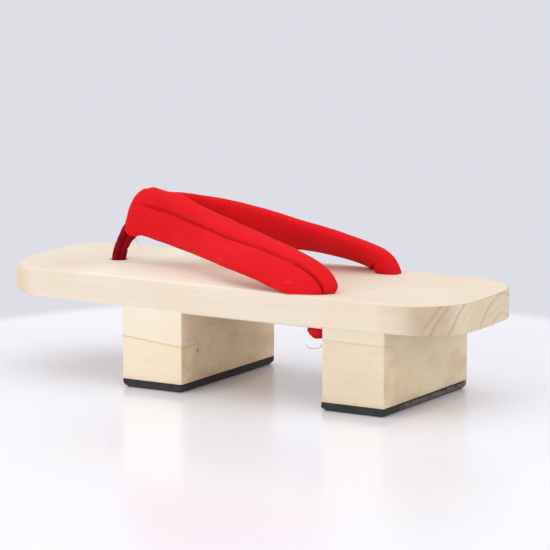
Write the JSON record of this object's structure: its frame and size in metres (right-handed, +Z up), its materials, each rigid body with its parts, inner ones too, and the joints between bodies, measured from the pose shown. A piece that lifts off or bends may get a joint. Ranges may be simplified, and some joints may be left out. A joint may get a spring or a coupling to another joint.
{
  "type": "geta sandal",
  "caption": "Open wooden geta sandal: flat foot board raised on cross teeth with rubber treads, worn with a padded cloth V-shaped thong strap held by a toe loop.",
  "frame": {"origin": "on the ground under the middle of the board's box: centre of the bottom of the bounding box", "axes": "+X from heel to toe, +Y to one side, +Z up from the ground to the foot board"},
  "size_m": [0.2662, 0.0904, 0.094],
  "materials": {
    "wood": "smooth sanded, unfinished pale softwood",
    "rubber": "matte black",
    "red_cloth": "fine matte weave over soft padding",
    "crimson_velvet": "short velvet pile"
  },
  "bodies": {
    "root": {"board": "wood", "front_tooth": "wood", "rear_tooth": "wood", "front_pad": "rubber", "rear_pad": "rubber", "strap": "red_cloth", "toe_loop": "crimson_velvet"}
  },
  "joints": []
}
